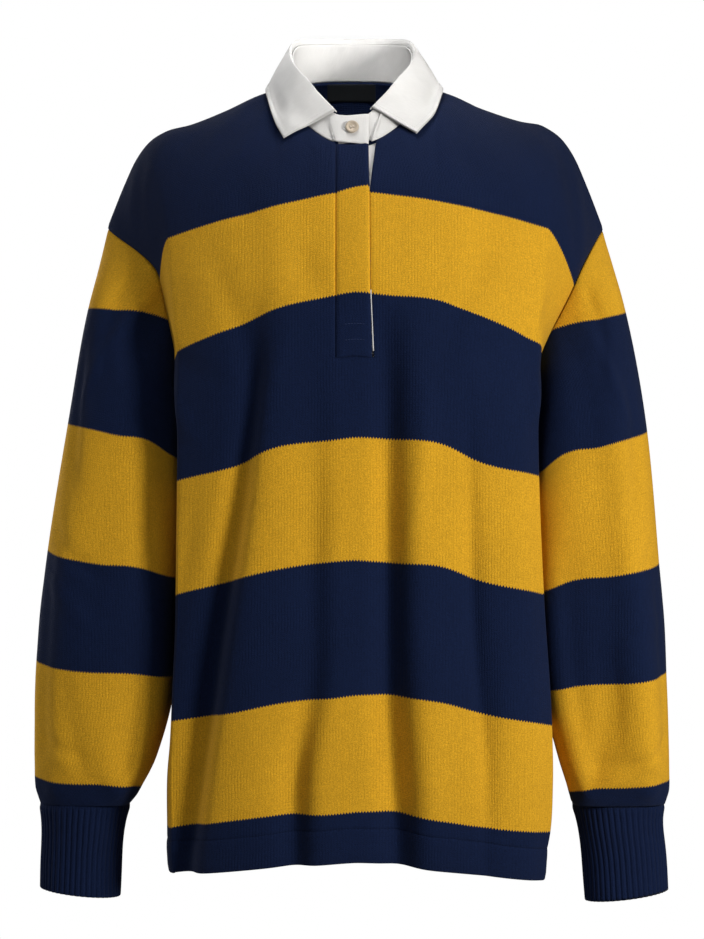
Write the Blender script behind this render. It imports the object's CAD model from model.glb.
# Looks of a knitted rugby sweater with a woven collar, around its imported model.
# The tables are in millimetres of the model's frame. +X is the wearer's left, -Y is the front.
# A column runs from -1 to 1 across a panel, a row is cloth down from the top of the first stripe.

import bpy
import numpy as np
from mathutils import Matrix, Vector


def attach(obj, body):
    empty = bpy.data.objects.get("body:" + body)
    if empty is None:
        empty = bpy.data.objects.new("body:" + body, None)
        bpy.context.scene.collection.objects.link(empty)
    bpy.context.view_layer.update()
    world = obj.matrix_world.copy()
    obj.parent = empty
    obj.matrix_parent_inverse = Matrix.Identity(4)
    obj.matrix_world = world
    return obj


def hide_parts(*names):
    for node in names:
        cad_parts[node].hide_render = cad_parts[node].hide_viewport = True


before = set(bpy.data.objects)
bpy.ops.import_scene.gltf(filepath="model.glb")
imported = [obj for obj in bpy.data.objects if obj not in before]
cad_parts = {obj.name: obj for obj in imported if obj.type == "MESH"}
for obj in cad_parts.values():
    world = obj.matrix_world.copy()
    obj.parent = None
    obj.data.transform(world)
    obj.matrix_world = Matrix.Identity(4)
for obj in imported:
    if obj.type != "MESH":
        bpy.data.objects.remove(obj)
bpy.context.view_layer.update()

MM = 0.001
KNIT = 2.2
BAND = 3.2
WOVEN = 1.3
GAP = 0.3
WALE = 2.6
COURSE = 1.9

ROW_UNDERARM = 154.0
ROW_HEM_SEAM = 562.0
ROW_HEM_EDGE = 592.0
COL_NECK = 0.33
COL_RIDGE = 0.8
FACE_ROUND = 3.2
FACE_DROP = 1.4
# The cloth's way out, back and down just past the ridge.
RIDGE_TURN = (7.0, 6.0, -2.0)
STRIPE_EDGES = (0, 104, 222, 326, 444, 548)
SLEEVE_EDGES = (-400, 0, 108, 222, 328, 433)

# Body sections as in the model: row, centre, fold ridges and seam edges of either side.
FRONT = (
    (0, -100, -101, -168, -66, -138, 172, -74, -132, -178, -44, -177, 199, -42, -182),
    (104, -132, -195, -158, -100, -243, 162, -104, -240, -161, -31, -262, 163, -32, -264),
    (154, -136, -249, -156, -104, -291, 160, -106, -289, -153, 0, -313, 154, 0, -316),
    (222, -138, -323, -156, -104, -359, 160, -106, -355, -149, 4, -376, 150, 4, -378),
    (326, -138, -431, -158, -104, -458, 163, -106, -460, -149, 4, -474, 151, 4, -476),
    (444, -138, -546, -162, -102, -571, 169, -104, -574, -160, 4, -581, 166, 4, -584),
    (500, -137, -601, -164, -101, -622, 170, -103, -626, -170, 3, -628, 174, 3, -632),
    (548, -136, -648, -164, -99, -667, 168, -101, -672, -171, 2, -673, 173, 2, -677),
    (562, -136, -661, -164, -98, -679, 166, -100, -684, -171, 2, -685, 172, 2, -689),
    (592, -135, -690, -163, -96, -706, 164, -98, -711, -169, 2, -713, 169, 2, -716),
)
BACK = (
    (0, 88, -106, -158, 60, -140, 160, 60, -138),
    (104, 97, -206, -152, 70, -243, 154, 70, -241),
    (154, 97, -256, -150, 72, -291, 152, 72, -290),
    (222, 94, -326, -149, 72, -359, 151, 72, -357),
    (326, 92, -432, -150, 72, -459, 152, 72, -460),
    (444, 94, -548, -155, 70, -570, 158, 70, -572),
    (500, 95, -603, -160, 68, -621, 164, 68, -625),
    (548, 96, -650, -160, 66, -666, 162, 66, -669),
    (562, 96, -663, -160, 66, -678, 162, 66, -681),
    (592, 95, -692, -158, 65, -706, 160, 65, -709),
)
NECK_SHIFT = -3.0
SHOULDER_LEFT_UP = ((0.33, 0), (0.50, 0), (0.62, 2.5), (0.72, 4.5), (0.80, 3.0), (0.92, 0), (1.0, -1.5))
NECK_FRONT = (
    (0.0, 0, -76, -57),
    (0.08, 17, -74, -54),
    (0.165, 37, -63, -41),
    (0.25, 59, -37, -17),
    (0.33, 71, 2, 7),
)
NECK_BACK = (
    (0.0, 0, 58, 22),
    (0.12, 27, 55, 21),
    (0.23, 55, 37, 15),
    (0.33, 71, 2, 7),
)
SHOULDER = (
    (0.33, 71, 2, 7),
    (0.42, 92, 4, 0.2),
    (0.53, 120, 5, -13),
    (0.65, 153, 6, -26),
    (0.74, 177, 6, -32.5),
    (0.80, 192, 6, -42),
    (0.86, 205, 6, -59),
    (0.92, 216, 5, -83),
    (1.0, 231.8, 4, -123),
)
# How the cloth leaves the top edge: column, direction, and the cloth up to the first stripe.
LEAVE_FRONT = (
    (0.0, 0, -26, -44, 50),
    (0.165, 3, -45, -52, 70),
    (0.25, 4, -64, -52, 96),
    (0.33, 3, -100, -43, 124),
    (0.42, 1, -108, -40, 138),
    (0.53, 0, -112, -36, 150),
    (0.80, -6, -105, -40, 132),
    (0.92, -22, -84, -42, 105),
    (1.0, -30, -72, -38, 78),
)
LEAVE_BACK = (
    (0.0, 0, 52, -96, 130),
    (0.165, 2, 70, -80, 130),
    (0.25, 4, 104, -54, 132),
    (0.33, 3, 215, -24, 138),
    (0.42, 1, 180, -30, 146),
    (0.53, 0, 142, -36, 150),
    (0.80, -6, 98, -40, 132),
    (0.92, -22, 80, -42, 105),
    (1.0, -30, 70, -38, 78),
)
# Folds of the model: kind, spread and path. A step rises by its height toward +X, and a ridge or
# a crease stands out by it. The spread ends with how far it reaches to -X and +X, in columns, and a
# step's starts with its width. A path has rows, columns and heights.
FRONT_FOLDS = (
    ("step", (0.048, 0.16, 0.32), ((60, -0.40, 0), (165, -0.425, 8), (255, -0.48, 12), (318, -0.53, 14),
                                 (432, -0.61, 15), (520, -0.67, 15), (592, -0.72, 13))),
    ("step", (0.050, 0.20, 0.24), ((120, -0.13, 0), (230, -0.14, 5), (326, -0.15, 5), (432, -0.155, 8),
                                 (520, -0.21, 12), (592, -0.22, 11))),
    ("step", (0.062, 0.26, 0.28), ((90, 0.185, 0), (150, 0.19, 11), (300, 0.19, 17), (440, 0.195, 19),
                                 (540, 0.225, 18), (592, 0.235, 15))),
    ("crease", (0.090, 0.045), ((150, 0.49, 0), (230, 0.50, -5), (420, 0.515, -10), (500, 0.54, -6),
                                   (592, 0.55, -3))),
    ("ridge", (0.07, 0.07), ((40, -0.26, 0), (80, -0.20, -2), (120, -0.12, 0))),
    ("ridge", (0.06, 0.06), ((0, 0.62, 0), (90, 0.46, -3), (160, 0.36, 0))),
    ("ridge", (0.06, 0.06), ((10, -0.66, 0), (100, -0.53, -3), (170, -0.46, 0))),
)
BACK_FOLDS = (
    ("step", (0.060, 0.26, 0.28), ((130, -0.40, 0), (250, -0.44, 9), (420, -0.48, 12), (592, -0.50, 12))),
    ("ridge", (0.08, 0.08), ((220, -0.20, 0), (320, -0.19, 4), (592, -0.17, 4))),
    ("step", (0.060, 0.24, 0.28), ((110, 0.10, 0), (230, 0.11, 8), (420, 0.14, 11), (592, 0.16, 12))),
    ("ridge", (0.085, 0.085), ((180, 0.46, 0), (300, 0.45, -6), (592, 0.43, -6))),
    ("ridge", (0.06, 0.06), ((0, 0.62, 0), (90, 0.46, -3), (160, 0.36, 0))),
    ("ridge", (0.06, 0.06), ((0, -0.62, 0), (90, -0.46, -3), (160, -0.36, 0))),
)
# Sleeve rings from 1 to 7: outer and inner point, front and back depth.
SLEEVE = {"right": (
    (-245, -192.5, -158.5, -350, -66, 55),
    (-264, -298.5, -160, -409.5, -75, 49),
    (-282.5, -418.5, -162.5, -479, -80, 38),
    (-292, -521, -167, -553.5, -81, 29),
    (-293.5, -597, -181.5, -608.5, -77, 21),
    (-292.5, -630.5, -194.5, -635.5, -71, 13),
    (-289.5, -652.5, -205.5, -653, -61, 3),
), "left": (
    (246, -194.5, 159.5, -352, -66, 55),
    (266, -303.5, 162, -411.5, -75, 49),
    (278, -427.5, 164.5, -481, -80, 38),
    (284.5, -529, 172, -555.5, -81, 29),
    (286.5, -601, 183.5, -603, -77, 21),
    (286, -632.5, 192.5, -634.5, -71, 13),
    (283.5, -653, 198, -653.5, -61, 3),
)}
# Sleeve folds: path of ring and turn, height, width. Turn 0 is outside, 0.25 front, 0.5 inside.
SLEEVE_FOLDS = {"right": (
    (((1.2, 0.20), (3.0, 0.17), (5.2, 0.21)), 3.0, 0.045),
    (((1.6, 0.29), (3.4, 0.28), (5.4, 0.30)), -4.0, 0.040),
    (((2.6, 0.10), (5.0, 0.12)), -2.5, 0.035),
    (((1.4, 0.70), (5.2, 0.76)), -4.0, 0.050),
), "left": (
    (((0.8, 0.21), (3.0, 0.20), (5.2, 0.18)), 3.5, 0.045),
    (((2.2, 0.28), (3.6, 0.29), (5.4, 0.27)), -4.5, 0.040),
    (((2.6, 0.10), (5.0, 0.09)), -2.5, 0.035),
    (((1.4, 0.72), (5.2, 0.68)), -4.0, 0.050),
)}
# Heights of the five stripe edges on a sleeve, at the outside, front, inside and back.
SLEEVE_LINES = {"right": (
    (0.0, -200, -305, -420, -522, -627),
    (0.25, -211, -319.5, -435, -531.5, -633),
    (0.36, -230, -336, -444, -535, -635),
    (0.5, -236, -341, -447, -536, -636),
    (0.75, -211, -319.5, -435, -531.5, -633),
    (1.0, -200, -305, -420, -522, -627),
), "left": (
    (0.0, -203, -312, -433, -532, -630),
    (0.25, -220, -331, -446, -542, -636),
    (0.36, -237, -350, -457, -547, -640),
    (0.5, -241, -356, -460, -548, -641),
    (0.75, -220, -331, -448, -543, -638),
    (1.0, -203, -312, -433, -532, -630),
)}
# Cuffs: height, outer and inner side, front and back depth, and how much the outer side is raised.
CUFF = {"right": (
    (-653.2, -289.4, -206, -60.8, 2.8, 0.2),
    (-670.6, -288.5, -210.2, -58, 0, 1),
    (-697.3, -288.1, -213.9, -56, -1.5, 2),
    (-733.8, -289.5, -215.1, -56.5, -1, 4),
), "left": (
    (-653.7, 283.5, 198.1, -60.8, 2.8, 0.2),
    (-670.6, 282.4, 202.5, -58, 0, 1),
    (-699.3, 284.4, 207.4, -56, -1.5, 3),
    (-737.7, 287.1, 210.2, -56.5, -1, 5),
)}
CUFF_RIBS = 46
RIB_HIGH = 1.0
RIB_PITCH = 4.65
CUFF_WALL = 2.6
# How full a sleeve's section is at the front's inner and outer quarter and at the back, where 1 is
# round, and how far back the right one's outer half hangs.
SLEEVE_FULL = (0.45, 0.68, 0.9)
SLEEVE_SWEEP = 0.14
PUCKERS = 7
PUCKER_HIGH = 1.2
STAND_TOP = (
    (0.0, 0, 51, 55),
    (0.22, 34, 45, 54.5),
    (0.36, 51, 28, 50),
    (0.50, 56, 4, 37),
    (0.65, 52.5, -25, 20),
    (0.82, 39, -47, 2),
    (0.93, 22, -61, -19),
    (1.0, 10, -66.5, -29),
)
LEAF_RIGHT = (
    (0.0, 0, 72, 14),
    (0.22, -45, 62, 12),
    (0.42, -79, 22, 9),
    (0.55, -83, -2, 4),
    (0.70, -80, -20, -13),
    (0.85, -74, -43, -33),
    (1.0, -64.5, -62, -52),
)
LEAF_LEFT = (
    (0.0, 0, 72, 14),
    (0.22, 45, 62, 12),
    (0.42, 78, 22, 9),
    (0.55, 81, -2, 3),
    (0.70, 78, -18, -11),
    (0.85, 71, -41, -28),
    (1.0, 55, -66, -47),
)
# Ends of the stand, which lap: side, place of a middle point, that point's and the tip's low and
# high place.
STAND_LAP = 0.90
STAND_ENDS = (
    (-1, 0.55, (-14, -76.8, -54.5), (-17, -66.5, -28.5), (11.3, -77, -57), (11.3, -68, -28.5)),
    (1, 0.50, (17, -72.5, -52.5), (11, -63.5, -28.5), (-15, -71.5, -56), (-15, -63, -28.5)),
)
STAND_COLS = 45
STAND_FINE = 353
STITCH_INSET = 5.4
FALL_RIGHT_X = -16.5
FALL_LEFT_X = 12.6
SLOT_RIGHT_X = -18.4
SLOT_COLS = (-0.07, 0.06)
# Placket slot: row, the slot's far edge and the strip's free edge.
SLOT = np.array((
    (-1, 19.0, 11.2),
    (-0.5, 15.6, 11.4),
    (0, 12.9, 11.9),
    (104, 13.8, 12.4),
    (154, 16.6, 14.2),
))
# How much higher the outer strip's stripe is at its free edge.
STRIP_RISE = 6.0
BUTTON_PLACE = (-3.1, -72.4, -41.0)
BUTTON_FACING = (0, -0.955, 0.297)
BUTTON_HOLE = 1.3
# The camera's place in metres and its lens, which give the photograph's frame.
CAMERA_AT = (-0.00316, -2.1, -0.3483)
CAMERA_LENS = 86.57
# Lights: place and aim in metres, size, power and colour.
WARM = (1, 0.985, 0.96)
COOL = (0.97, 0.98, 1)
PLAIN = (1, 1, 1)
LIGHTS = {
    "key": ((1.35, -1.35, -0.1), (0, 0, -0.4), 0.5, 32, WARM),
    "fill": ((-1.6, -3.0, 0.2), (0, 0, -0.4), 1.6, 3, COOL),
    "left": ((-2.0, 0.4, -0.3), (-0.2, 0, -0.45), 1.0, 12, COOL),
    "top": ((-0.4, -1.2, 1.5), (0, 0, -0.1), 1.0, 9, PLAIN),
    "neck": ((0, -0.11, 0.17), (0, 0.055, 0.02), 0.12, 0.38, PLAIN),
    "back": ((-1.5, 2.6, 0.8), (0, 0, -0.35), 1.6, 48, PLAIN),
}
SKY = 0.09


# Curves

def hermite(a, b, ma, mb, u):
    """Cubic from a to b that leaves along ma and arrives along mb."""
    return (
        (2 * u**3 - 3 * u**2 + 1) * a
        + (u**3 - 2 * u**2 + u) * ma
        + (3 * u**2 - 2 * u**3) * b
        + (u**3 - u**2) * mb
    )


def spline(table, at):
    """Smooth curve through a table whose first column is the place along it."""
    table = np.asarray(table, float)
    at = np.asarray(at, float)
    knots = table[:, 0]
    values = table[:, 1:]
    step = np.diff(knots)
    rise = np.diff(values, axis=0) / step[:, None]
    slope = np.empty_like(values)
    slope[0] = rise[0]
    slope[-1] = rise[-1]
    before = step[:-1, None]
    after = step[1:, None]
    slope[1:-1] = (rise[:-1] * after + rise[1:] * before) / (before + after)
    i = np.clip(np.searchsorted(knots, at, side="right") - 1, 0, len(knots) - 2)
    h = step[i][..., None]
    u = ((at - knots[i]) / step[i])[..., None]
    a = values[i]
    b = values[i + 1]
    ma = slope[i] * h
    mb = slope[i + 1] * h
    return np.where(u < 0, a + u * ma, np.where(u > 1, b + (u - 1) * mb, hermite(a, b, ma, mb, u)))


def unit(v):
    return v / np.maximum(np.linalg.norm(v, axis=-1, keepdims=True), 1e-9)


def mix(a, b, k):
    return a + (b - a) * k


def stretches(*marks):
    """Places from mark to mark. Between two marks stands the count of places from one to the other."""
    parts = [np.linspace(marks[i], marks[i + 2], marks[i + 1])[:-1] for i in range(0, len(marks) - 2, 2)]
    return np.concatenate([*parts, marks[-1:]])


def smooth(k):
    k = np.clip(k, 0, 1)
    return k * k * (3 - 2 * k)


def mirrored(points, place):
    """Points of the left half, turned over to the right half where place is negative."""
    points = points.copy()
    points[..., 0] *= np.where(place >= 0, 1, -1)
    return points


def body_low(col, row, side):
    """A point of the body below the first stripe's top."""
    edges = spline(FRONT, row)
    t = edges if side == "front" else spline(BACK, row)
    left = (col >= 0)[..., None]
    ridge = np.where(left, t[..., 5:8], t[..., 2:5])
    edge = np.where(left, edges[..., 11:14], edges[..., 8:11])
    if side == "back":
        edge = edge.copy()
        edge[..., 1] = np.where(row < ROW_UNDERARM, -edge[..., 1], edge[..., 1])
    reach = np.minimum(np.abs(col) / COL_RIDGE, 1)
    face = np.stack([
        ridge[..., 0] * reach,
        mix(t[..., 0], ridge[..., 1], reach**FACE_ROUND),
        mix(t[..., 1], ridge[..., 2], reach**FACE_DROP),
    ], axis=-1)
    # Past the ridge the cloth turns back to the seam.
    k = np.clip((np.abs(col) - COL_RIDGE) / (1 - COL_RIDGE), 0, 1)[..., None]
    sign = np.where(left, 1.0, -1.0)[..., 0]
    back = 1.0 if side == "front" else -1.0
    ones = np.ones_like(sign)
    out, in_y, low = RIDGE_TURN
    turn = np.stack([sign * out, back * in_y * ones, low * ones], axis=-1)
    far = np.linalg.norm(edge - ridge, axis=-1)
    arrive = np.stack([0 * ones, back * far * 0.33, -0.06 * far], axis=-1)
    p1 = ridge + turn
    p2 = edge - arrive
    side_part = (
        (1 - k) ** 3 * ridge + 3 * k * (1 - k) ** 2 * p1 + 3 * k**2 * (1 - k) * p2 + k**3 * edge
    )
    return np.where(k > 0, side_part, face)


def top_edge(col, side):
    away = np.abs(col)
    neck = spline(NECK_FRONT if side == "front" else NECK_BACK, away)
    shoulder = spline(SHOULDER, away)
    p = mirrored(np.where((away < COL_NECK)[..., None], neck, shoulder), col)
    p[..., 0] += NECK_SHIFT * (1 - np.clip(away / COL_NECK, 0, 1) ** 2)
    up = np.interp(away, [c for c, _ in SHOULDER_LEFT_UP], [u for _, u in SHOULDER_LEFT_UP])
    p[..., 2] += np.where(col > 0, up, 0)
    return p


def body_plain(col, row, side):
    """A point of the body. Row -1 is the top edge, 0 the first stripe, more is down in millimetres."""
    col, row = np.broadcast_arrays(np.asarray(col, float), np.asarray(row, float))
    low = body_low(col, np.maximum(row, 0), side)
    start = body_low(col, np.zeros_like(row), side)
    down = (body_low(col, np.full_like(row, 2.0), side) - start) / 2.0
    leave = spline(LEAVE_FRONT if side == "front" else LEAVE_BACK, np.abs(col))
    u = np.clip(row + 1, 0, 1)[..., None]
    top = hermite(top_edge(col, side), start, mirrored(leave[..., :3], col), down * leave[..., 3:4], u)
    return np.where((row < 0)[..., None], top, low)


def outward(col, row, side, plain):
    """Unit normal that points out of the hollow."""
    dc = 0.004
    dr = np.where(row < 0, 0.02, 2.0)
    c0 = np.clip(col - dc, -1, 1)
    c1 = np.clip(col + dc, -1, 1)
    r0 = np.maximum(row - dr, -1)
    r1 = row + dr
    r1 = np.where((row < 0) & (r1 > 0), 0, r1)
    r0 = np.where((row >= 0) & (r0 < 0), 0, r0)
    du = plain(c1, row, side) - plain(c0, row, side)
    dv = plain(col, r1, side) - plain(col, r0, side)
    n = unit(np.cross(dv, du))
    return n if side == "front" else -n


def fold_shape(kind, spread, off):
    """A fold's share of its height at an offset from its line, in columns."""
    reach = np.where(off < 0, spread[-2], spread[-1])
    if kind == "step":
        width = spread[0]
        off = off / width
        past = np.abs(off) - 1
        past = 0.5 * (past + np.sqrt(past * past + 1))
        return 0.5 * np.tanh(off) * np.exp(-past * width / reach)
    off = off / reach
    if kind == "crease":
        return np.exp(0.2 - np.sqrt(off * off + 0.04))
    return np.exp(-off * off)


def fold_height(col, row, folds):
    total = np.zeros(np.broadcast(col, row).shape)
    for kind, spread, path in folds:
        place = spline(path, np.clip(row, path[0][0], path[-1][0]))
        total = total + place[..., 1] * fold_shape(kind, spread, col - place[..., 0])
    return total


def body(col, row, side, lift=0.0):
    """A point of the folded body panel, moved out by lift, and the normal there."""
    col, row = np.broadcast_arrays(np.asarray(col, float), np.asarray(row, float))
    n = outward(col, row, side, body_plain)
    edge = 1 - smooth((np.abs(col) - 0.72) / 0.12)
    high = fold_height(col, row, FRONT_FOLDS if side == "front" else BACK_FOLDS) * edge
    return body_plain(col, row, side) + n * (high + lift)[..., None], n


def grid_normals(points, flip=1.0, closed=False):
    if closed:
        du = np.roll(points, -1, axis=1) - np.roll(points, 1, axis=1)
    else:
        du = np.gradient(points, axis=1)
    dv = np.gradient(points, axis=0)
    return unit(np.cross(dv, du)) * flip


# Meshes

def run_length(points, axis):
    """Length of cloth along a grid's rows or columns, from its start."""
    steps = np.linalg.norm(np.diff(points, axis=axis), axis=-1)
    start = np.zeros_like(np.take(steps, [0], axis=axis))
    return np.concatenate([start, np.cumsum(steps, axis=axis)], axis=axis)


def make_mesh(name, verts, faces, corner_uv, materials, second=None):
    """A smooth mesh object. Each face corner has a cloth place in millimetres."""
    mesh = bpy.data.meshes.new(name)
    mesh.from_pydata([tuple(v) for v in np.asarray(verts) * MM], [], faces)
    layer = mesh.uv_layers.new(name="cloth")
    layer.data.foreach_set("uv", np.asarray(corner_uv, float).ravel())
    for material in materials:
        mesh.materials.append(material)
    if second is not None:
        mesh.polygons.foreach_set("material_index", np.asarray(second, np.int32))
    mesh.shade_smooth()
    obj = bpy.data.objects.new(name, mesh)
    bpy.context.scene.collection.objects.link(obj)
    return obj


def cloth_wall(name, outer, normals, thick, places, materials, keep=None, closed=False,
               round_rim=0.5, rim_steps=3):
    """Closed cloth: an outer and an inner face and a rounded rim. A tube's places have one column more."""
    uv = np.stack(places, axis=-1)
    rows, cols = outer.shape[:2]
    spans = cols if closed else cols - 1
    if keep is None:
        keep = np.ones((rows - 1, spans), bool)
    i, j = np.nonzero(keep)
    k = (j + 1) % cols
    quads = np.stack([i * cols + j, (i + 1) * cols + j, (i + 1) * cols + k, i * cols + k], axis=1)
    wide = uv.shape[1]
    corners = np.stack([i * wide + j, (i + 1) * wide + j, (i + 1) * wide + j + 1, i * wide + j + 1], axis=1)
    flat_uv = uv.reshape(-1, 2)
    top = outer.reshape(-1, 3)
    n = normals.reshape(-1, 3)
    low = top - n * thick
    count = rows * cols
    # The edges that only one kept face uses, in that face's direction.
    ends = np.stack([quads, np.roll(quads, -1, axis=1)], axis=-1).reshape(-1, 2)
    end_uv = np.stack([corners, np.roll(corners, -1, axis=1)], axis=-1).reshape(-1, 2)
    key = ends[:, 0] * count + ends[:, 1]
    back = ends[:, 1] * count + ends[:, 0]
    rim = ~np.isin(key, back)
    rim_ends = ends[rim]
    rim_uv = end_uv[rim]
    out = np.zeros((count, 3))
    for a in (0, 1):
        e = top[rim_ends[:, 1]] - top[rim_ends[:, 0]]
        np.add.at(out, rim_ends[:, a], unit(np.cross(e, n[rim_ends[:, a]])))
    out = unit(out)
    used = np.unique(rim_ends)
    slot = np.full(count, -1)
    slot[used] = np.arange(len(used))
    verts = [top, low]
    for s in range(1, rim_steps):
        angle = np.pi * s / rim_steps
        middle = top[used] - n[used] * thick * (0.5 - 0.5 * np.cos(angle))
        verts.append(middle + out[used] * thick * 0.5 * round_rim * np.sin(angle))
    faces = [quads, quads[:, ::-1] + count]
    corner_uv = [flat_uv[corners], flat_uv[corners[:, ::-1]]]
    a, b = rim_ends[:, 0], rim_ends[:, 1]

    def level(index, s):
        if s == 0:
            return index
        if s == rim_steps:
            return index + count
        return 2 * count + (s - 1) * len(used) + slot[index]

    for s in range(rim_steps):
        faces.append(np.stack([level(b, s), level(a, s), level(a, s + 1), level(b, s + 1)], axis=1))
        corner_uv.append(flat_uv[rim_uv[:, [1, 0, 0, 1]]])
    verts = np.concatenate(verts)
    faces = np.concatenate(faces)
    corner_uv = np.concatenate(corner_uv).reshape(-1, 2)
    inner = np.zeros(len(faces), int)
    inner[len(quads): 2 * len(quads)] = 1
    # Vertices that no face uses are left out.
    kept, index = np.unique(faces, return_inverse=True)
    faces = index.reshape(faces.shape)
    verts = verts[kept]
    if signed_volume(verts, faces) < 0:
        faces = faces[:, ::-1]
        corner_uv = corner_uv.reshape(-1, 4, 2)[:, ::-1].reshape(-1, 2)
    second = inner if len(materials) > 1 else None
    return make_mesh(name, verts, faces.tolist(), corner_uv, materials, second)


def signed_volume(verts, faces):
    p = verts - verts.mean(axis=0)
    a, b, c, d = (p[faces[:, m]] for m in range(4))
    return float((a * np.cross(b, c)).sum() + (a * np.cross(c, d)).sum())


def wobble(u, v, size, seed, long=1.0):
    """Soft unevenness of hung cloth, as a few slow waves of height about size."""
    draw = np.random.default_rng(seed)
    total = np.zeros(np.shape(u))
    for _ in range(9):
        wave = draw.uniform(38, 120)
        turn = draw.normal(0, 0.35)
        total = total + np.sin(2 * np.pi * (u * np.cos(turn) + v * np.sin(turn) / long) / wave
                               + draw.uniform(0, 6.3)) * wave / 120
    return total * size / 3


def creases_at(u, v, table):
    """Height of soft creases: each runs from one cloth place to another, deepest at its middle."""
    total = np.zeros(np.shape(u))
    for u0, v0, u1, v1, bend, out, half in table:
        du = u1 - u0
        dv = v1 - v0
        far = np.hypot(du, dv)
        along = ((u - u0) * du + (v - v0) * dv) / far**2
        across = ((v - v0) * du - (u - u0) * dv) / far
        across = across - bend * np.sin(np.pi * np.clip(along, 0, 1))
        taper = smooth((along + 0.12) / 0.42) * smooth((1.12 - along) / 0.42)
        total = total + out * taper * np.exp(-((across / half) ** 2))
    return total


def seam_drop(away, deep=1.0, wide=2.2):
    """Cloth dips into a seam."""
    return -deep * np.exp(-((away / wide) ** 2))


# Materials

class Nodes:
    """Short calls for building a node tree."""

    def __init__(self, name):
        self.material = bpy.data.materials.new(name)
        self.material.use_nodes = True
        self.tree = self.material.node_tree
        self.shader = self.tree.nodes["Principled BSDF"]

    def add(self, kind, **settings):
        node = self.tree.nodes.new(kind)
        for key, value in settings.items():
            setattr(node, key, value)
        return node

    def put(self, value, socket):
        if isinstance(value, bpy.types.NodeSocket):
            self.tree.links.new(value, socket)
        else:
            socket.default_value = value

    def math(self, operation, *values):
        node = self.add("ShaderNodeMath", operation=operation)
        for value, socket in zip(values, node.inputs):
            self.put(value, socket)
        return node.outputs[0]

    def times(self, a, b):
        return self.math("MULTIPLY", a, b)

    def plus(self, a, b):
        return self.math("ADD", a, b)

    def minus(self, a, b):
        return self.math("SUBTRACT", a, b)

    def over(self, a, b):
        return self.math("DIVIDE", a, b)

    def mix(self, factor, a, b, how="MIX"):
        node = self.add("ShaderNodeMix", data_type="RGBA", blend_type=how)
        self.put(factor, node.inputs[0])
        self.put(a, node.inputs[6])
        self.put(b, node.inputs[7])
        return node.outputs[2]

    def place(self):
        """Cloth place in millimetres: across and down."""
        split = self.add("ShaderNodeSeparateXYZ")
        self.tree.links.new(self.add("ShaderNodeUVMap", uv_map="cloth").outputs[0], split.inputs[0])
        return split.outputs[0], split.outputs[1]

    def noise(self, vector, scale, detail, rough=0.5):
        node = self.add("ShaderNodeTexNoise")
        self.put(vector, node.inputs["Vector"])
        node.inputs["Scale"].default_value = scale
        node.inputs["Detail"].default_value = detail
        node.inputs["Roughness"].default_value = rough
        return node.outputs[0]

    def cloud(self, u, v, fine_u, fine_v, detail, rough=0.5):
        """Noise over the cloth, as fine as asked each way."""
        return self.noise(self.vector(self.times(u, fine_u), self.times(v, fine_v)), 1.0, detail, rough)

    def grey(self, shade):
        return self.vector(shade, shade, shade)

    def vector(self, x, y, z=0.0):
        node = self.add("ShaderNodeCombineXYZ")
        for value, socket in zip((x, y, z), node.inputs):
            self.put(value, socket)
        return node.outputs[0]

    def range(self, value, low, high, to_low, to_high):
        node = self.add("ShaderNodeMapRange")
        for given, socket in zip((value, low, high, to_low, to_high), node.inputs):
            self.put(given, socket)
        return node.outputs[0]

    def bump(self, height, distance, strength=1.0, normal=None):
        node = self.add("ShaderNodeBump")
        node.inputs["Strength"].default_value = strength
        node.inputs["Distance"].default_value = distance
        self.put(height, node.inputs["Height"])
        if normal is not None:
            self.put(normal, node.inputs["Normal"])
        return node.outputs[0]

    def finish(self, colour, rough, normal, sheen=0.0, sheen_tint=(1, 1, 1, 1)):
        self.put(colour, self.shader.inputs["Base Color"])
        self.put(rough, self.shader.inputs["Roughness"])
        self.put(normal, self.shader.inputs["Normal"])
        self.shader.inputs["Specular IOR Level"].default_value = 0.08
        self.shader.inputs["Sheen Weight"].default_value = sheen
        self.shader.inputs["Sheen Roughness"].default_value = 0.45
        self.shader.inputs["Sheen Tint"].default_value = sheen_tint
        return self.material


NAVY = (0.0052, 0.0115, 0.041, 1)
MUSTARD = (0.645, 0.34, 0.018, 1)
WHITE = (0.67, 0.66, 0.645, 1)


def stitch_height(g, u, v, wale, course):
    """One knit stitch is a V of two legs. Gives the height of the yarn and the place in the wale."""
    cell = g.math("FRACT", g.over(u, wale))
    off = g.math("ABSOLUTE", g.minus(g.times(cell, 2.0), 1.0))
    # off is 0 at the wale's middle and 1 between wales. A leg peaks halfway.
    leg = g.minus(g.times(off, 2.0), 1.0)
    leg = g.minus(1.0, g.times(leg, leg))
    lean = g.minus(g.over(v, course), g.times(off, 0.75))
    loop = g.math("SINE", g.times(g.math("FRACT", lean), np.pi))
    height = g.times(leg, g.plus(g.times(loop, 0.55), 0.45))
    wale_round = g.times(g.minus(1.0, g.times(off, off)), 0.3)
    return g.plus(height, wale_round), off


def stripes(g, u, v, edges, off):
    """1 on mustard and 0 on navy. The edge follows the stitches."""
    down = g.plus(v, g.times(off, 2.0))
    total = None
    for count, edge in enumerate(edges):
        past = g.math("GREATER_THAN", down, float(edge))
        if count % 2:
            past = g.times(past, -1.0)
        total = past if total is None else g.plus(total, past)
    return total


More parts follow.
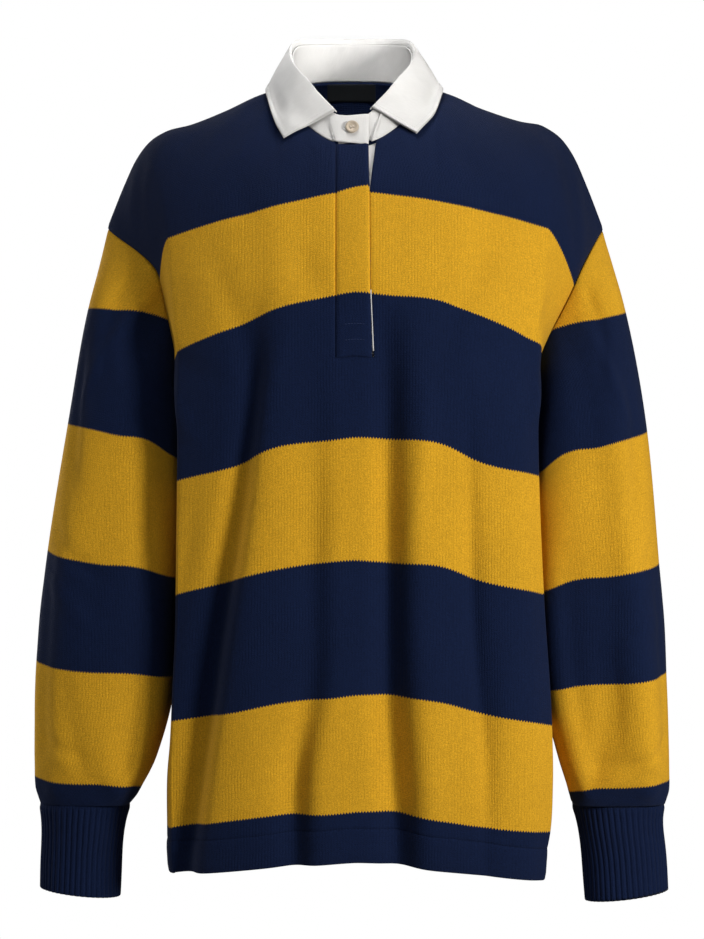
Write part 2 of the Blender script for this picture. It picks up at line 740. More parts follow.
def knit_material(name, edges=(), inside=False, wale=WALE, course=COURSE, deep=0.00028):
    g = Nodes(name)
    u, v = g.place()
    # The yarn wanders a little, so wales are never ruled lines.
    drift = g.cloud(u, v, 0.02, 0.05, 2.0)
    u_knit = g.plus(u, g.times(g.minus(drift, 0.5), 1.6))
    height, off = stitch_height(g, u_knit, v, wale, course)
    if inside:
        height = g.times(g.math("SINE", g.times(v, 2 * np.pi / course)), 0.5)
        height = g.plus(height, g.times(off, 0.5))
    fibre = g.cloud(u, v, 0.85, 0.65, 3.0, 0.7)
    felt = g.cloud(u, v, 0.30, 0.11, 2.0)
    broad = g.cloud(u, v, 0.016, 0.011, 2.0)
    base = g.mix(stripes(g, u_knit, v, edges, off), NAVY, MUSTARD) if edges else NAVY
    shade = g.range(height, 0.0, 1.3, 0.86, 1.08)
    shade = g.times(shade, g.range(fibre, 0.25, 0.75, 0.66, 1.34))
    shade = g.times(shade, g.range(felt, 0.25, 0.75, 0.93, 1.07))
    shade = g.times(shade, g.range(broad, 0.3, 0.7, 0.96, 1.04))
    colour = g.mix(1.0, base, g.grey(shade), "MULTIPLY")
    total = g.plus(height, g.times(fibre, 1.8))
    normal = g.bump(total, deep, 0.9)
    rough = g.range(fibre, 0.2, 0.8, 0.86, 0.98)
    return g.finish(colour, rough, normal, 0.03)


def woven_material(name, colour=WHITE, thread=0.42, deep=0.00007, rough=0.78):
    """A fine plain weave with slubs."""
    g = Nodes(name)
    u, v = g.place()
    warp = g.math("SINE", g.times(u, np.pi / thread))
    weft = g.math("SINE", g.times(v, np.pi / thread))
    weave = g.times(warp, weft)
    slub = g.cloud(u, v, 0.9, 0.12, 3.0)
    soft = g.cloud(u, v, 0.05, 0.05, 3.0)
    shade = g.times(g.range(weave, -1, 1, 0.965, 1.0), g.range(slub, 0.3, 0.7, 0.975, 1.02))
    shade = g.times(shade, g.range(soft, 0.3, 0.7, 0.97, 1.02))
    tint = g.mix(1.0, colour, g.grey(shade), "MULTIPLY")
    height = g.plus(weave, g.times(slub, 1.2))
    normal = g.bump(height, deep, 0.8)
    normal = g.bump(soft, 0.0012, 0.5, normal)
    return g.finish(tint, rough, normal, 0.12)


def hang(piece, node):
    """Puts a cloth piece on the body and states its cut."""
    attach(piece, "root")
    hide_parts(node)


# Body

NECK_COLS = np.linspace(-COL_NECK, COL_NECK, 133)


def neck_line(row):
    """X of the front's middle columns at a row."""
    return body_plain(NECK_COLS, np.full_like(NECK_COLS, row), "front")[:, 0]


def front_columns(rows):
    """Columns at each row, bent so that two of them follow the placket slot."""
    base = stretches(-1, 30, -COL_RIDGE, 34, -COL_NECK, 20, SLOT_COLS[0], 11, SLOT_COLS[1], 21,
                     COL_NECK, 34, COL_RIDGE, 30, 1)
    far_edge = np.interp(rows, SLOT[:, 0], SLOT[:, 1])
    out = np.empty((len(rows), len(base)))
    for i, row in enumerate(rows):
        x = neck_line(row)
        right = np.interp(SLOT_RIGHT_X, x, NECK_COLS)
        left = np.interp(far_edge[i], x, NECK_COLS)
        out[i] = np.interp(base, [-1, -COL_NECK, *SLOT_COLS, COL_NECK, 1],
                           [-1, -COL_NECK, right, left, COL_NECK, 1])
    return base, out


def back_columns(rows):
    half = stretches(0, 24, COL_NECK, 34, COL_RIDGE, 26, 1)
    base = np.concatenate([-half[:0:-1], half])
    return base, np.repeat(base[None], len(rows), axis=0)


def from_middle(plain, cols):
    """Places across a panel's points, from column 0."""
    across = run_length(plain, 1)
    middle = np.array([np.interp(0.0, c, a) for c, a in zip(cols, across)])
    return across - middle[:, None]


def ends_away(across):
    """How far each point is from the nearer end of its row."""
    return np.minimum(across - across[:, :1], across[:, -1:] - across)


def cloth_place(plain, cols, rows):
    """Across and down places of a panel's points, with down in millimetres above the first stripe too."""
    across = from_middle(plain, cols)
    down = rows.copy()
    zero = int(np.argmin(np.abs(rows[:, 0])))
    length = run_length(plain[: zero + 1], 0)
    down[: zero + 1] = length - length[-1:]
    return across, down


BODY_ROWS = stretches(-1, 46, 0, 47, ROW_UNDERARM, 121, ROW_HEM_SEAM)
HEM_ROWS = np.concatenate([[ROW_HEM_SEAM + GAP, ROW_HEM_SEAM + 1.2], np.linspace(565, 589, 9),
                           [590.6, ROW_HEM_EDGE]])
ARM = int(np.argmin(np.abs(BODY_ROWS - ROW_UNDERARM)))

# Creases in cloth places: from across, down, to across, down, bend, height and half width.
FRONT_CREASES = (
    (-215, 60, -120, 150, 8, -2.2, 9),
    (-225, 95, -140, 205, -6, 2.0, 9),
    (205, 40, 120, 135, -8, -2.0, 9),
    (222, 100, 150, 190, 6, 2.2, 8),
    (-60, 118, -95, 250, 4, 1.6, 10),
    (62, 160, 48, 300, -4, 1.6, 9),
    (-150, 250, -172, 400, 4, -1.8, 10),
    (-35, 330, -40, 560, 3, 1.5, 12),
    (18, 420, 26, 560, 2, -1.5, 9),
    (118, 380, 112, 560, -3, -1.6, 9),
    (-120, -60, -85, 20, 5, -1.2, 12),
    (112, -70, 80, 10, -5, -1.2, 12),
)
BACK_CREASES = (
    (-190, 70, -100, 150, 8, -2.0, 9),
    (190, 60, 105, 150, -8, -2.0, 9),
    (-40, 20, -60, 160, 4, 1.6, 12),
    (55, 40, 70, 190, -4, 1.6, 12),
    (-90, 300, -100, 560, 5, 1.8, 12),
    (20, 330, 10, 560, -4, 1.6, 12),
    (105, 280, 118, 560, 4, 1.8, 11),
    (0, -110, 0, -30, 6, -1.0, 16),
)


# Extra hollows beside the front's main folds, in the folds' own form.
FRONT_HOLLOWS = (
    ("ridge", (0.065, 0.065), ((110, 0.13, 0), (160, 0.14, -4), (230, 0.145, -7), (300, 0.145, -9),
                                  (440, 0.145, -10), (540, 0.175, -10), (592, 0.185, -7))),
    ("ridge", (0.080, 0.065), ((60, -0.45, 0), (165, -0.475, -5), (283, -0.565, -8), (387, -0.64, -9),
                                  (509, -0.69, -8), (592, -0.74, -6))),
    ("ridge", (0.070, 0.060), ((230, -0.16, 0), (326, -0.18, -3), (432, -0.19, -5), (509, -0.25, -7),
                                  (592, -0.26, -5))),
    ("ridge", (0.170, 0.100), ((130, 0.70, 0), (283, 0.72, 6), (440, 0.72, 8), (592, 0.72, 5))),
)


def hollows(cols, rows, side):
    return fold_height(cols, rows, FRONT_HOLLOWS) if side == "front" else 0.0


# How far the front's stripes hang below their rows: X, then each of the six stripe edges.
STRIPE_HANG = (
    (-152, 3, 1, 0, 1, 1, -1),
    (-110, 4, 1, 2, -1, 2, -3),
    (-70, 4, -1, -4, -3, 0, -3),
    (-20, 2, 0, -1, -3, 1, 0),
    (30, 2, -2, -3, -3, -2, -2),
    (75, 1, -9, -6, -7, -3, -1),
    (110, 1, -7, 2, -1, 1, 0),
    (160, 1, -3, 0, -1, 1, -3),
)


def hung(x, down):
    """Down places of the front, with the stripes' own unevenness taken out."""
    hang = spline(STRIPE_HANG, x)
    total = np.zeros(down.shape)
    for i, own in enumerate(np.eye(len(STRIPE_EDGES))):
        total = total + hang[..., i] * np.interp(down, STRIPE_EDGES, own)
    return down - total


def make_panel(side):
    """Points, normals and cloth places of the front or back."""
    base, cols = (front_columns if side == "front" else back_columns)(BODY_ROWS)
    rows = np.repeat(BODY_ROWS[:, None], cols.shape[1], axis=1)
    plain = body_plain(cols, rows, side)
    across, down = cloth_place(plain, cols, rows)
    creases = creases_at(across, down, FRONT_CREASES if side == "front" else BACK_CREASES)
    lift = creases + wobble(across, down, 0.9, 11 if side == "front" else 12, 3.0)
    side_away = ends_away(across)
    top_away = down - down[:1]
    calm = smooth(side_away / 30) * smooth(top_away / 30) * smooth((ROW_HEM_SEAM + 60 - rows) / 60)
    lift = lift * calm
    lift = lift + seam_drop(side_away) + seam_drop(top_away, 0.8)
    lift = lift + seam_drop(ROW_HEM_SEAM - rows, 0.2, 1.4)
    points, _ = body(cols, rows, side, lift + hollows(cols, rows, side))
    if side == "front":
        down = hung(plain[..., 0], down)
    return base, cols, points, across, down


def body_pieces(knit, inside, hem):
    arms = {}
    for side in ("front", "back"):
        base, cols, points, across, down = make_panel(side)
        flip = 1.0 if side == "front" else -1.0
        normals = grid_normals(points, flip)
        keep = None
        if side == "front":
            keep = np.ones((points.shape[0] - 1, points.shape[1] - 1), bool)
            in_slot = (base[:-1] >= SLOT_COLS[0] - 1e-6) & (base[1:] <= SLOT_COLS[1] + 1e-6)
            keep[:ARM, in_slot] = False
        hang(cloth_wall(side + "_knit", points, normals, KNIT, (across, down), [knit, inside], keep), side)
        arms[side] = points
        hem_cols, hem_rows = np.meshgrid(cols[-1], HEM_ROWS)
        across = from_middle(body_plain(hem_cols, hem_rows, side), hem_cols)
        lift = np.interp(hem_rows - ROW_HEM_SEAM, [0, 2.5, 8, 24, 30], [-0.1, 0.5, 0.9, 1.0, 0.4])
        lift = lift + seam_drop(ends_away(across))
        hem_points, _ = body(hem_cols, hem_rows, side, lift + hollows(hem_cols, hem_rows, side))
        band = cloth_wall("hem_" + side + "_knit", hem_points, grid_normals(hem_points, flip), BAND,
                          (across, hem_rows), [hem], round_rim=0.8, rim_steps=5)
        hang(band, "hem_band_" + side)
    return arms


# Sleeves

SLEEVE_PLACES = np.linspace(0, 7, 175)
SLEEVE_CREASES = {"right": (
    (70, 300, 92, 450, 8, -3.0, 12),
    (50, 20, 72, 170, 8, -2.6, 10),
    (60, -60, 95, 60, 6, -2.2, 9),
    (100, -30, 60, 90, -5, 2.0, 9),
    (40, 190, 110, 235, 6, -2.2, 8),
    (30, 235, 100, 290, -5, 1.8, 9),
    (-20, 120, 10, 300, 8, 1.6, 12),
    (20, 380, 85, 405, 4, -1.8, 7),
    (-80, 200, -30, 260, 6, -2.0, 9),
    (-100, 40, -60, 160, 6, -2.0, 10),
), "left": (
    (100, 285, 112, 470, 12, -5.0, 12),
    (60, 60, 78, 190, 6, -2.6, 10),
    (70, -50, 100, 50, 6, -2.4, 9),
    (95, 10, 55, 110, -6, 2.0, 9),
    (45, 200, 105, 250, 6, -2.2, 8),
    (35, 270, 95, 300, -5, 1.8, 9),
    (-15, 140, 15, 320, 8, 1.6, 12),
    (25, 385, 80, 412, 4, -1.8, 7),
    (-85, 220, -35, 270, 6, -2.0, 9),
    (-100, 60, -60, 170, 6, -2.0, 10),
)}


def sleeve_surface(side, ring):
    """Sleeve points from the armhole ring down to the cuff seam, and the turn of each column."""
    size = len(ring)
    gaps = np.linalg.norm(np.roll(ring, -1, axis=0) - ring, axis=1)
    half = size // 2
    turn = np.zeros(size)
    first = np.concatenate([[0], np.cumsum(gaps[:half])])
    second = np.concatenate([[0], np.cumsum(gaps[half:])])
    turn[: half + 1] = 0.5 * first / first[-1]
    turn[half:] = (0.5 + 0.5 * second / second[-1])[:-1]
    rings = [ring]
    c = np.cos(turn * 2 * np.pi)
    s = np.sin(turn * 2 * np.pi)
    inner, outer, rear = SLEEVE_FULL
    flat = np.where(s > 0, np.where(c < 0, inner, outer), rear)
    cc = np.sign(c) * np.abs(c) ** flat
    ss = np.sign(s) * np.abs(s) ** flat
    for ox, oz, ix, iz, fy, by in SLEEVE[side]:
        x = (ox + ix) / 2 + (ox - ix) / 2 * cc
        y = (fy + by) / 2 + (fy - by) / 2 * ss
        z = (oz + iz) / 2 + (oz - iz) / 2 * c
        if side == "right":
            y = y + SLEEVE_SWEEP * np.maximum((ox + ix) / 2 - x, 0)
        rings.append(np.stack([x, y, z], axis=-1))
    knots = np.arange(len(rings), dtype=float)
    stack = np.column_stack([knots, np.array(rings).reshape(len(rings), -1)])
    grid = spline(stack, SLEEVE_PLACES).reshape(len(SLEEVE_PLACES), size, 3)
    sign = 1.0 if side == "right" else -1.0
    n = grid_normals(grid, sign, closed=True)
    place = np.repeat(SLEEVE_PLACES[:, None], size, axis=1)
    turns = np.repeat(turn[None], len(SLEEVE_PLACES), axis=0)
    high = np.zeros(place.shape)
    for path, out, wide in SLEEVE_FOLDS[side]:
        marks = np.array(path)
        along = smooth((place - marks[0, 0]) / 0.9) * smooth((marks[-1, 0] + 0.6 - place) / 0.8)
        off = (turns - np.interp(place, marks[:, 0], marks[:, 1])) / wide
        high = high + out * along * np.exp(-off * off)
    pucker = smooth((place - 5.4) / 1.0) * smooth((7.0 - place) / 0.7)
    high = high + pucker * PUCKER_HIGH * np.sin(turns * 2 * np.pi * PUCKERS)
    return grid, n, high, turns, sign


def make_sleeve(side, arms, knit, inside):
    edge = 0 if side == "right" else -1
    front = arms["front"]
    back = arms["back"]
    ring = np.concatenate([front[: ARM + 1, edge], back[ARM - 1:0:-1, edge]])
    grid, n, high, turns, sign = sleeve_surface(side, ring)
    # The grid is turned so that it starts and ends at the underarm seam.
    size = grid.shape[1]
    grid, n, high, turns = (np.roll(a, -ARM, axis=1) for a in (grid, n, high, turns))
    loop = np.concatenate([grid, grid[:, :1]], axis=1)
    across = run_length(loop, 1)
    outside = size - ARM
    across = across - across[:, outside: outside + 1]
    heights = spline(SLEEVE_LINES[side], np.concatenate([turns, turns[:, :1]], axis=1))
    down = np.empty(loop.shape[:2])
    known = np.array(SLEEVE_EDGES[1:], float)
    for i in range(loop.shape[0]):
        for j in range(loop.shape[1]):
            z = loop[i, j, 2]
            h = heights[i, j]
            if z > h[0]:
                down[i, j] = (h[0] - z) * 1.04
            elif z < h[-1]:
                down[i, j] = known[-1] + (h[-1] - z)
            else:
                down[i, j] = np.interp(-z, -h, known)
    lift = creases_at(across, down, SLEEVE_CREASES[side])
    lift = lift + wobble(across, down, 1.0, 21 if side == "right" else 22, 2.4)
    start_away = run_length(loop, 0)
    end_away = start_away[-1:] - start_away
    under_away = ends_away(across)
    lift = lift * smooth(start_away / 28) * smooth(end_away / 30) * smooth(under_away / 25)
    lift = lift + seam_drop(start_away, 0.6) + seam_drop(end_away, 0.4) + seam_drop(under_away, 0.9)
    points = grid + n * (high + lift[:, :-1])[..., None]
    along = unit(points[1] - points[0])
    points[0] = points[0] + along * GAP * 0.5
    points[-1, :, 2] += GAP * 0.5
    piece = cloth_wall("sleeve_" + side + "_knit", points, grid_normals(points, sign, closed=True), KNIT,
                       (across, down), [knit, inside], closed=True)
    hang(piece, "sleeve_" + side)


# Cuffs

def make_cuff(side, rib):
    table = np.array(CUFF[side])
    per_rib = 8
    size = CUFF_RIBS * per_rib
    levels = 40
    at = np.linspace(0, 1, levels)
    rows = spline(np.column_stack([np.linspace(0, 1, len(table)), table]), at)
    ribs = (0.5 - 0.5 * np.cos(2 * np.pi * np.arange(size) / per_rib)) ** 0.7
    points = np.empty((levels, size, 3))
    angle = np.arange(size) / size * 2 * np.pi
    c = np.cos(angle)
    s = np.sin(angle)
    for i, (z, ox, ix, fy, by, up) in enumerate(rows):
        calm = smooth(at[i] / 0.12)
        grow = -RIB_HIGH + RIB_HIGH * calm * ribs
        # The knit swells and draws in a little on its way down.
        grow = grow + 0.5 * np.sin(at[i] * 9 + 1.0) * np.sin(angle * 2 + 0.7)
        half = abs(ox - ix) / 2 + grow
        x = (ox + ix) / 2 + np.sign(ox - ix) * half * c
        y = (fy + by) / 2 + ((fy - by) / 2 - grow) * s
        points[i] = np.stack([x, y, z + up * c], axis=-1)
    n = unit(np.stack([np.sign(ox - ix) * c, -s, 0 * c], axis=-1))
    places = np.meshgrid(np.arange(size + 1) * RIB_PITCH / per_rib, table[0, 0] - rows[:, 0])
    piece = cloth_wall("cuff_" + side + "_rib", points, np.repeat(n[None], levels, axis=0),
                       CUFF_WALL, places, [rib], closed=True, round_rim=0.9, rim_steps=5)
    hang(piece, "cuff_" + side)


# Collar

def push_out(points, surface, normals, least):
    """Moves points that lie too close to a surface out, mostly toward the front or the back."""
    flat = points.reshape(-1, 3)
    s = surface.reshape(-1, 3)
    n = normals.reshape(-1, 3)
    moved = flat.copy()
    for i, p in enumerate(flat):
        d = ((s - p) ** 2).sum(-1)
        j = int(np.argmin(d))
        high = float(np.dot(p - s[j], n[j]))
        if high < least and d[j] < 20 ** 2:
            way = unit(n[j] * np.array([0.15, 1.0, 0.45]))
            moved[i] = p + way * (least - high) / np.dot(way, n[j])
    return moved.reshape(points.shape)


def body_samples():
    cols = np.linspace(-0.75, 0.75, 121)
    rows = np.concatenate([np.linspace(-1, 0, 41), np.linspace(3, 60, 20)])
    c, r = np.meshgrid(cols, rows)
    fp, fnorm = body(c, r, "front")
    bp, bnorm = body(c, r, "back")
    return (np.concatenate([fp.reshape(-1, 3), bp.reshape(-1, 3)]),
            np.concatenate([fnorm.reshape(-1, 3), bnorm.reshape(-1, 3)]))


def neck_ring(turn):
    """The neckline by turn: 0 back centre, 1 front centre, negative to the wearer's right."""
    away = np.abs(turn)
    back_part = np.clip(away / 0.45, 0, 1) * COL_NECK
    front_part = (1 - np.clip((away - 0.45) / 0.55, 0, 1)) * COL_NECK
    p = mirrored(np.where((away < 0.45)[..., None], spline(NECK_BACK, back_part),
                          spline(NECK_FRONT, front_part)), turn)
    at = np.where(away < 0.45, back_part, front_part)
    p[..., 0] += NECK_SHIFT * (1 - np.clip(at / COL_NECK, 0, 1) ** 2)
    return p


def stand_top(turn):
    p = mirrored(spline(STAND_TOP, np.abs(turn)), turn)
    p[..., 0] += NECK_SHIFT
    return p


def stand_grid():
    turn = np.linspace(-1.0, 1.0, STAND_COLS)
    ups = np.array([0.0, 0.33, 0.66, 1.0])
    grid = np.array([mix(neck_ring(turn), stand_top(turn), up) for up in ups])
    for side, share, middle_low, middle_high, tip_low, tip_high in STAND_ENDS:
        lap = np.where(side * turn > STAND_LAP)[0]
        start = lap[-1] + 1 if side < 0 else lap[0] - 1
        k = np.clip((side * turn[lap] - STAND_LAP) / (1 - STAND_LAP), 0, 1)
        for i, up in enumerate(ups):
            middle = mix(np.array(middle_low), np.array(middle_high), up)
            tip = mix(np.array(tip_low), np.array(tip_high), up)
            grid[i, lap] = spline(((0, *grid[i, start]), (share, *middle), (1, *tip)), k)
    grid[0] = grid[0] + unit(grid[1] - grid[0]) * 0.9
    return grid


def fall_grid(grid, samples):
    surface, normals = samples
    levels, size = grid.shape[:2]
    edge = grid[-1]
    widest = int(np.argmin(edge[:, 0]))
    order = np.arange(widest, -1, -1)
    start = np.interp(FALL_RIGHT_X, edge[order, 0], order)
    widest = int(np.argmax(edge[:, 0]))
    order = np.arange(size - 1, widest - 1, -1)
    end = np.interp(FALL_LEFT_X, edge[order, 0], order)
    turn = np.linspace(-1.0, 1.0, 41)
    place = np.where(turn < 0, mix((size - 1) / 2, start, -turn), mix((size - 1) / 2, end, turn))
    top = at_place(place, np.arange(size), edge)
    leaf = np.where((turn < 0)[:, None], spline(LEAF_RIGHT, np.abs(turn)),
                    spline(LEAF_LEFT, np.abs(turn)))
    radial = leaf - top
    radial[:, 2] = 0
    radial = unit(radial)
    up = np.array([0, 0, 1.0])
    rise = np.interp(np.abs(turn), [0, 0.5, 0.85, 1], [7.0, 6.0, 5.0, 4.0])[:, None]
    away = np.interp(np.abs(turn), [0, 0.5, 0.85, 1], [6.0, 4.6, 4.4, 3.5])[:, None]
    rows = [
        top + up * np.interp(np.abs(turn), [0, 0.7, 1], [0.5, 1.2, 2.0])[:, None] + radial * 0.2,
        top + up * rise * 0.75 + radial * 0.6,
        top + up * rise + radial * away * 0.5,
        top + up * rise * 0.6 + radial * away,
    ]
    shoulder = rows[-1]
    for k in (0.22, 0.46, 0.72, 1.0):
        rows.append(mix(shoulder, leaf, k) + radial * 1.4 * np.sin(np.pi * k))
    fall = np.array(rows)
    fine = np.linspace(0, size - 1, STAND_FINE)
    stand = np.array([at_place(fine, np.arange(size), row) for row in grid])
    heights = np.linspace(0, levels - 1, 13)
    stand = np.array([mix(stand[int(min(v, 2))], stand[int(min(v, 2)) + 1], v - int(min(v, 2)))
                      for v in heights])
    stand_n = -grid_normals(stand[::-1])[::-1]
    fall[3:] = push_out(fall[3:], stand, stand_n, WOVEN + 1.2)
    fall[4:] = push_out(fall[4:], surface, normals, 3.9)
    return fall


def refine(grid, rows, cols):
    """The same surface with more points, as a smooth curve each way."""
    deep, wide = grid.shape[:2]
    first = np.column_stack([np.arange(deep), grid.reshape(deep, -1)])
    tall = spline(first, np.linspace(0, deep - 1, rows)).reshape(rows, wide, 3)
    second = np.column_stack([np.arange(wide), tall.transpose(1, 0, 2).reshape(wide, -1)])
    return spline(second, np.linspace(0, wide - 1, cols)).reshape(cols, rows, 3).transpose(1, 0, 2)


def make_collar(white, thread):
    stand = stand_grid()
    fall = fall_grid(stand, body_samples())
    fine = refine(stand, 22, STAND_FINE)
    n = -grid_normals(fine[::-1])[::-1]
    across = run_length(fine, 1)
    down = run_length(fine, 0)
    lift = wobble(across, down, 0.25, 31)
    fine = fine + n * lift[..., None]
    piece = cloth_wall("collar_stand_cloth", fine, n, WOVEN, (across, down), [white], round_rim=0.9)
    hang(piece, "collar_stand")
    fine = refine(fall, 60, 321)
    n = -grid_normals(fine)
    across = run_length(fine, 1)
    down = run_length(fine, 0)
    away = np.minimum(ends_away(across), down[-1:] - down)
    # The turned seam allowance makes a flat ridge round the edge, held by a line of stitches.
    lift = 0.35 * smooth((5.5 - away) / 1.5) * smooth(down / 14)
    lift = lift - 0.35 * np.exp(-(((away - STITCH_INSET) / 0.5) ** 2))
    lift = lift + wobble(across, down, 0.35, 32) * smooth(down / 12)
    fine = fine + n * lift[..., None]
    line = offset_line(fine, across, down, STITCH_INSET)
    out = offset_line(n, across, down, STITCH_INSET)
    tubes("collar_thread", stitches_along(line, out, 2.3, 0.5), 0.16, 5, thread)
    piece = cloth_wall("collar_fall_cloth", fine, n, WOVEN, (across, down), [white], round_rim=1.0,
                       rim_steps=4)
    hang(piece, "collar_fall")


def at_place(at, run, points):
    """Points along a line, at places given as its run."""
    return np.stack([np.interp(at, run, points[:, k]) for k in range(3)], axis=-1)


def offset_line(grid, across, down, inset):
    """Points of a grid that lie inset from its first column, its last row and its last column."""
    count = grid.shape[1]
    first = [at_place(inset, across[i], grid[i]) for i in range(len(grid))]
    last = [at_place(across[i, -1] - inset, across[i], grid[i]) for i in range(len(grid))]
    low = [at_place(down[-1, j] - inset, down[:, j], grid[:, j]) for j in range(count)]
    first = [p for p, d in zip(first, down[:, 0]) if d < down[-1, 0] - inset]
    last = [p for p, d in zip(last, down[:, -1]) if d < down[-1, -1] - inset]
    low = [p for p, a in zip(low, across[-1]) if inset < a < across[-1, -1] - inset]
    return np.array(first + low + last[::-1])


def stitches_along(line, out, length, gap):
    """Paths of small stitches along a line, each lying on the cloth with its ends sunk in it."""
    run = np.concatenate([[0], np.cumsum(np.linalg.norm(np.diff(line, axis=0), axis=1))])
    start = gap
    paths = []
    while start + length < run[-1]:
        at = start + np.array([0, 0.18, 0.5, 0.82, 1.0]) * length
        paths.append(at_place(at, run, line)
                     + at_place(at, run, out) * np.array([-0.25, 0.05, 0.12, 0.05, -0.25])[:, None])
        start += length + gap
    return paths


# Placket, label and button

def strip_grid(rows, x_right, x_left, columns, lift):
    """A strip of the front's own surface between two X lines, moved out or in by lift."""
    c = np.empty((len(rows), columns))
    for i, row in enumerate(rows):
        x = neck_line(row)
        c[i] = np.interp(np.linspace(x_right, x_left[i], columns), x, NECK_COLS)
    r = np.repeat(np.asarray(rows)[:, None], columns, axis=1)
    plain = body_plain(c, r, "front")
    across, down = cloth_place(plain, c, r)
    points, n = body(c, r, "front", lift + hollows(c, r, "front"))
    return points, n, across, down


def make_placket(knit, white, thread):
    rows = stretches(-0.965, 34, 0, 62, 153.6)
    free = np.interp(rows, SLOT[:, 0], SLOT[:, 2])
    columns = 17
    side = np.linspace(0, 1, columns)[None]
    lift = 0.4 + 1.6 * side + seam_drop(side * 30, 1.6, 1.5) - 1.2 * smooth((side * 30 - 27.5) / 2.5)
    lift = np.repeat(lift, len(rows), axis=0)
    points, _, across, down = strip_grid(rows, -18.0, free, columns, lift)
    down = hung(points[..., 0], down) + STRIP_RISE * side * np.clip(1 - down / STRIPE_EDGES[1], 0, 1)
    n = grid_normals(points)
    piece = cloth_wall("placket_knit", points, n, 2.1, (across, down), [knit], round_rim=0.9)
    hang(piece, "placket_outer")
    paths = []
    for row in (128, 140):
        i = int(np.argmin(np.abs(rows - row)))
        paths += stitches_along(points[i, 4:-2], n[i, 4:-2], 2.0, 0.6)
    tubes("placket_thread", paths, 0.2, 5, thread)
    rows = stretches(-0.97, 30, 0, 50, 162)
    left = np.full(len(rows), 25.0)
    points, n, across, down = strip_grid(rows, -15.0, left, 25, -2.6)
    piece = cloth_wall("placket_under_cloth", points, n, WOVEN, (across, down), [white], round_rim=0.9)
    edge = strip_grid(rows, 10.0, np.interp(rows, [98, 154], [13.2, 15.7]), 2, 0.0)[0]
    tubes("placket_fold_cloth", [edge[(rows > 98) & (rows < 152), 1]], 0.6, 8, white)
    hang(piece, "placket_under")


def make_label(dark):
    c, r = np.meshgrid(np.linspace(-0.11, 0.1, 40), np.linspace(-0.985, -0.84, 16))
    plain = body_plain(c, r, "back")
    across, down = run_length(plain, 1), run_length(plain, 0)
    away = np.minimum(ends_away(across), np.minimum(down, down[-1:] - down))
    points, _ = body(c, r, "back", -KNIT - 1.4 + 0.25 * smooth((1.6 - away) / 0.8))
    piece = cloth_wall("neck_label_cloth", points, -grid_normals(points), -0.7, (across, down), [dark],
                       round_rim=0.9)
    hang(piece, "neck_label")


def lathe(profile, around):
    """Quads of a turned profile. Its first and last points are on the axis and closed by small fans."""
    verts = []
    faces = []
    for r, h in profile:
        for j in range(around):
            a = 2 * np.pi * j / around
            verts.append((max(r, 0.02) * np.cos(a), max(r, 0.02) * np.sin(a), h))
    for i in range(len(profile) - 1):
        for j in range(around):
            k = (j + 1) % around
            faces.append((i * around + j, (i + 1) * around + j, (i + 1) * around + k, i * around + k))
    faces.append(tuple(range(around)))
    faces.append(tuple(reversed(range((len(profile) - 1) * around, len(profile) * around))))
    return verts, faces


def simple_object(name, verts, faces, material):
    uv = [verts[i][:2] for face in faces for i in face]
    return make_mesh(name, verts, faces, uv, [material])


def make_button(shell, thread):
    profile = [(0.02, 1.45), (2.6, 1.5), (3.5, 1.75), (4.1, 2.35), (4.7, 2.65), (5.4, 2.6), (5.9, 2.2),
               (6.1, 1.6), (6.0, 0.8), (5.4, 0.25), (4.0, 0.0), (0.02, 0.0)]
    verts, faces = lathe(profile, 64)
    button = simple_object("button_cast", verts, faces, shell)
    place = Vector(BUTTON_PLACE) * MM
    turn = Vector(BUTTON_FACING).normalized().to_track_quat("Z", "Y").to_matrix().to_4x4()
    spin = Matrix.Rotation(np.radians(8), 4, "Z")
    at = Matrix.Translation(place) @ turn @ spin
    for x, y in ((1, 1), (-1, 1), (-1, -1), (1, -1)):
        bpy.ops.mesh.primitive_cylinder_add(
            vertices=24, radius=0.68 * MM, depth=8 * MM,
            location=(x * BUTTON_HOLE * MM, y * BUTTON_HOLE * MM, MM),
        )
        cutter = bpy.context.object
        cut = button.modifiers.new("hole", "BOOLEAN")
        cut.operation = "DIFFERENCE"
        cut.solver = "EXACT"
        cut.object = cutter
        bpy.context.view_layer.objects.active = button
        bpy.ops.object.modifier_apply(modifier=cut.name)
        bpy.data.objects.remove(cutter)
    button.data.transform(at)
    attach(button, "root")
    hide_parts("button")
    hole = BUTTON_HOLE
    paths = [[(x, -hole, 0.2), (x, -hole, 1.5), (x, -0.6 * hole, 2.0), (x, 0.6 * hole, 2.0),
              (x, hole, 1.5), (x, hole, 0.2)]
             for x in np.add.outer((-hole, hole), (-0.35, 0, 0.35)).ravel()]
    tubes("button_thread", paths, 0.2, 6, thread, at)


def tube(verts, faces, path, radius, sides):
    """A thin closed tube along a path, added to the lists."""
    path = np.asarray(path, float)
    first = len(verts)
    along = unit(np.gradient(path, axis=0))
    for p, d in zip(path, along):
        a = unit(np.cross(d, np.array([0.31, 0.87, 0.38])))
        b = np.cross(d, a)
        for j in range(sides):
            t = 2 * np.pi * j / sides
            verts.append(tuple(p + radius * (a * np.cos(t) + b * np.sin(t))))
    for i in range(len(path) - 1):
        for j in range(sides):
            k = (j + 1) % sides
            a = first + i * sides
            faces.append((a + j, a + k, a + sides + k, a + sides + j))
    faces.append(tuple(first + j for j in reversed(range(sides))))
    last = first + (len(path) - 1) * sides
    faces.append(tuple(last + j for j in range(sides)))


def tubes(name, paths, radius, sides, material, at=Matrix()):
    """Tubes along paths as one piece on the body, beside a node's cloth."""
    verts = []
    faces = []
    for path in paths:
        tube(verts, faces, path, radius, sides)
    piece = simple_object(name, verts, faces, material)
    piece.data.transform(at)
    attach(piece, "root")


# Stage

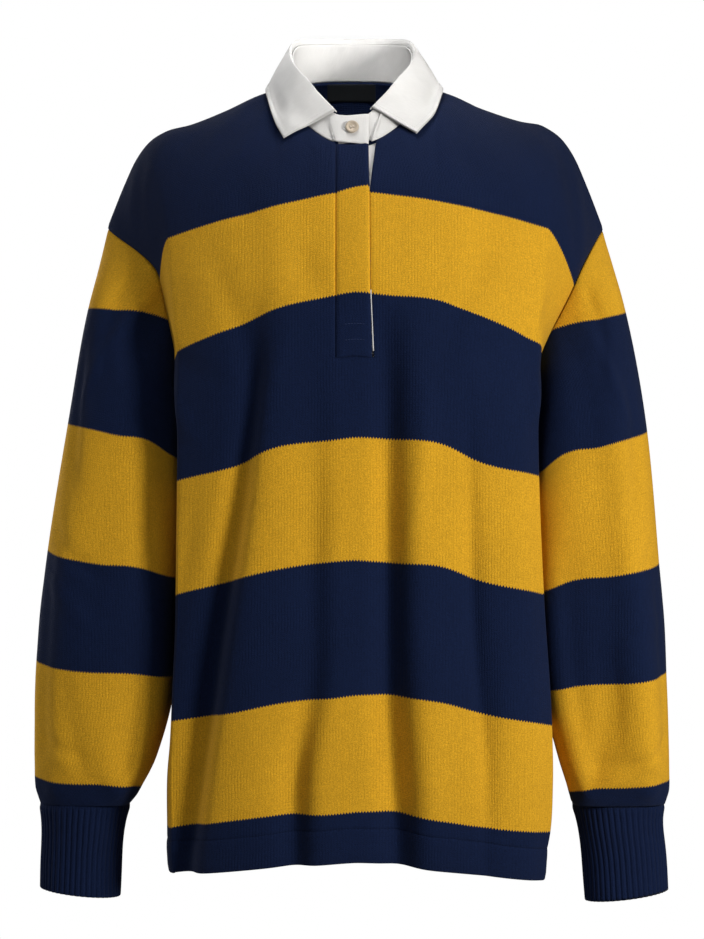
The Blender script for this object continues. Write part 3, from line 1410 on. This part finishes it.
def make_stage():
    turn = np.linspace(0, 2 * np.pi, 97)[:-1]
    verts = np.stack([3200 * np.cos(turn), 3200 * np.sin(turn), 0 * turn - 2500], axis=-1)
    faces = [tuple(range(96))]
    g = Nodes("pale_floor")
    cloud = g.noise(g.add("ShaderNodeTexCoord").outputs["Object"], 3.0, 3.0)
    tone = g.range(cloud, 0.3, 0.7, 0.84, 0.88)
    material = g.finish(g.grey(tone), 0.7, g.bump(cloud, 0.0005, 0.2))
    floor = simple_object("floor", verts, faces, material)


def area_light(name, place, aim, size, power, colour):
    light = bpy.data.lights.new(name, "AREA")
    light.shape = "DISK"
    light.size = size
    light.energy = power
    light.color = colour
    obj = bpy.data.objects.new(name, light)
    bpy.context.scene.collection.objects.link(obj)
    obj.location = place
    obj.rotation_mode = "QUATERNION"
    obj.rotation_quaternion = (Vector(aim) - Vector(place)).to_track_quat("-Z", "Y")


def make_lights():
    for name, light in LIGHTS.items():
        area_light(name, *light)
    world = bpy.data.worlds.new("studio")
    bpy.context.scene.world = world
    world.use_nodes = True
    tree = world.node_tree
    seen = tree.nodes.new("ShaderNodeLightPath").outputs["Is Camera Ray"]
    strength = tree.nodes.new("ShaderNodeMapRange")
    tree.links.new(seen, strength.inputs[0])
    strength.inputs[3].default_value = SKY
    strength.inputs[4].default_value = 1.0
    ground = tree.nodes["Background"]
    ground.inputs[0].default_value = (1, 1, 1, 1)
    tree.links.new(strength.outputs[0], ground.inputs[1])


def make_camera():
    camera = bpy.data.cameras.new("camera")
    camera.sensor_width = 36
    camera.lens = CAMERA_LENS
    obj = bpy.data.objects.new("camera", camera)
    bpy.context.scene.collection.objects.link(obj)
    obj.location = CAMERA_AT
    obj.rotation_euler = (np.pi / 2, 0, 0)
    bpy.context.scene.camera = obj
    bpy.context.scene.view_settings.view_transform = "Standard"


def main():
    make_camera()
    make_lights()
    make_stage()
    knit = knit_material("striped_knit", STRIPE_EDGES)
    inside = knit_material("striped_knit_inside", STRIPE_EDGES, inside=True)
    sleeve = knit_material("sleeve_knit", SLEEVE_EDGES)
    sleeve_inside = knit_material("sleeve_knit_inside", SLEEVE_EDGES, inside=True)
    navy = knit_material("navy_hem_knit")
    rib = knit_material("navy_rib_knit", wale=RIB_PITCH, course=1.8, deep=0.0003)
    white = woven_material("white_cotton")
    dark = woven_material("label_satin", (0.014, 0.016, 0.018, 1), 0.3, 0.00004, 0.5)
    arms = body_pieces(knit, inside, navy)
    for side in ("right", "left"):
        make_sleeve(side, arms, sleeve, sleeve_inside)
        make_cuff(side, rib)
    make_collar(white, woven_material("white_thread", (0.60, 0.59, 0.575, 1), 0.2, 0.00003))
    make_placket(knit, white, woven_material("navy_thread", (0.03, 0.045, 0.11, 1), 0.2, 0.00003))
    make_label(dark)
    shell = woven_material("button_shell", (0.50, 0.42, 0.33, 1), 1.7, 0.00002, 0.3)
    thread = woven_material("button_thread", (0.62, 0.55, 0.47, 1), 0.2, 0.00005, 0.8)
    make_button(shell, thread)


main()
